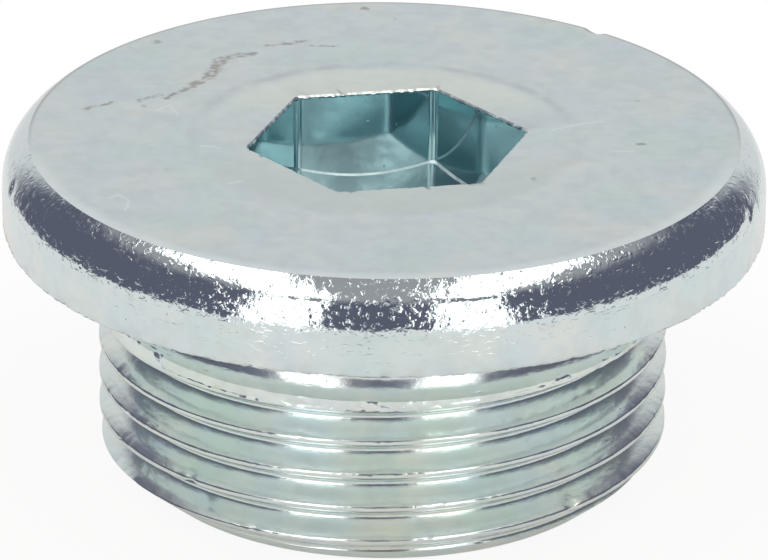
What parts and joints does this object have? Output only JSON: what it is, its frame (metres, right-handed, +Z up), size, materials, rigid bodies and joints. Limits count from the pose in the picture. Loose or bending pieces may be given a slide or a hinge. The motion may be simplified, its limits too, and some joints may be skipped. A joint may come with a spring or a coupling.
{
  "type": "hex socket screw plug",
  "caption": "Round zinc-plated steel screw plug: a wide rounded collar with a hexagon socket in its flat top, over a plain neck and a fine external thread.",
  "frame": {"origin": "centre of the thread's end face, on which the plug stands", "axes": "+Z up the plug's axis, from the thread's end to the collar's top; -Y is the side where the thread's first crest lies 3.22 mm under the collar"},
  "size_m": [0.032, 0.032, 0.0148],
  "materials": {
    "zinc_plate": "bright zinc-plated steel: satin flat top, polished shoulder, glossy thread"
  },
  "bodies": {
    "root": {"screw_plug": "zinc_plate"}
  },
  "joints": []
}
